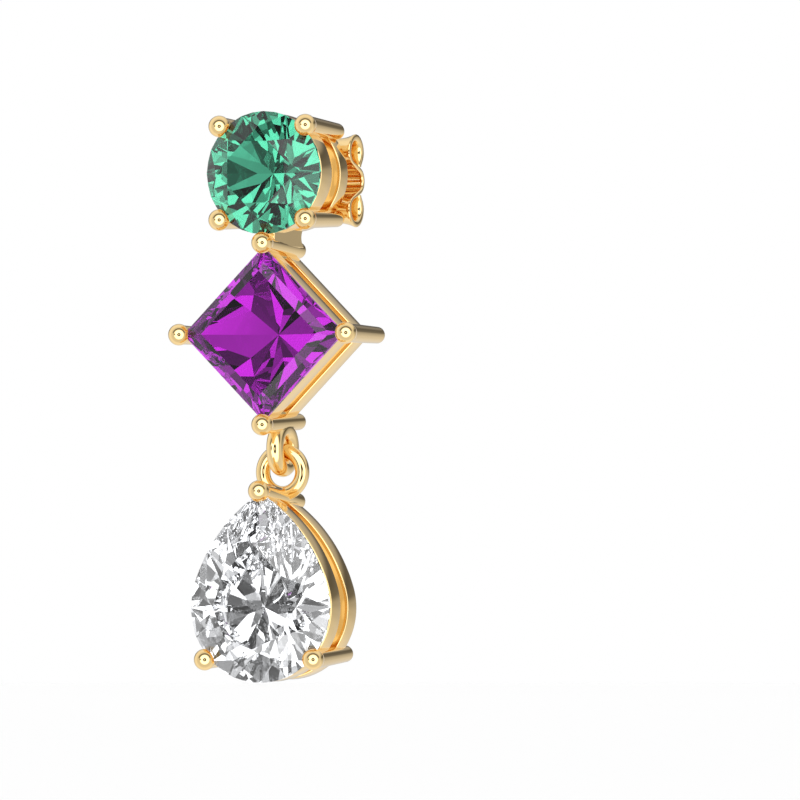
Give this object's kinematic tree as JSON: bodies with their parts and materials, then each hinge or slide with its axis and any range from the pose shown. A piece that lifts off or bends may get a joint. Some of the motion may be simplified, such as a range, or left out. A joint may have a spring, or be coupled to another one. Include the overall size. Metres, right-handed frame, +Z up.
{
  "type": "drop earring",
  "caption": "Gold drop earring with a round green stone on the post, a square purple stone on its corner and a clear pear stone that swings from linked loops.",
  "frame": {"origin": "on the ear post's axis, at the back of the round basket, where the earring sits on the ear lobe", "axes": "+Z up the earring, +Y back along the ear post into the ear, +X to the viewer's right of someone facing the stones"},
  "size_m": [0.0082, 0.0103, 0.0232],
  "materials": {
    "gold": "polished yellow gold",
    "green_stone": "faceted and polished",
    "purple_stone": "faceted and polished",
    "clear_stone": "faceted and polished"
  },
  "bodies": {
    "stud": {"stud_setting": "gold", "round_stone": "green_stone", "square_stone": "purple_stone"},
    "drop": {"drop_setting": "gold", "pear_stone": "clear_stone"},
    "clutch": {"clutch": "gold"}
  },
  "joints": [
    {"name": "drop_swing", "type": "hinge", "parent": "stud", "child": "drop", "pos_m": [0, -0.0015, -0.01177], "axis": [0, 1, 0], "range_deg": [-60, 60]},
    {"name": "clutch_slide", "type": "slide", "parent": "stud", "child": "clutch", "axis": [0, 1, 0], "range_m": [0, 0.0056]}
  ]
}
